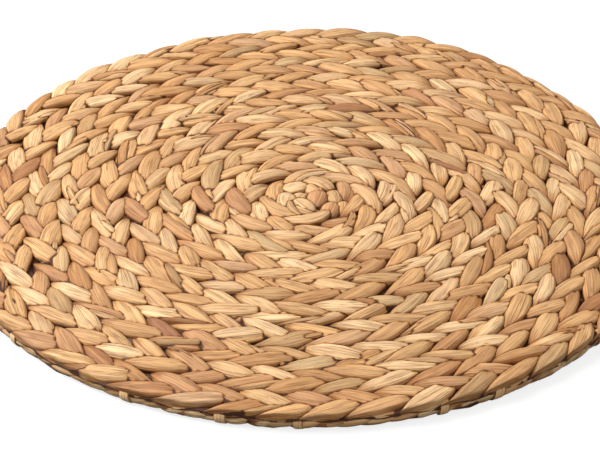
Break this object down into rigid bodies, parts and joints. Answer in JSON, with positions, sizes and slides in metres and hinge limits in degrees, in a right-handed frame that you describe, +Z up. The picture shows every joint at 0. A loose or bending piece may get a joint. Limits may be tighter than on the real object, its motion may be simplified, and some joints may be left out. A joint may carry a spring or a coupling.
{
  "type": "placemat",
  "caption": "Round flat placemat of plaited dried stems, wound in a spiral from its centre and sewn edge to edge.",
  "frame": {"origin": "on the surface that the mat lies on, under the middle of its bounding box", "axes": "+Z up through the mat, +X to the right of the mat as the picture shows it; the plait's tail ends 27 degrees round from +X towards +Y"},
  "size_m": [0.3708, 0.3798, 0.01],
  "materials": {
    "dried_stem": "satin dried plant stem"
  },
  "bodies": {
    "root": {"plait_coil": "dried_stem"}
  },
  "joints": []
}
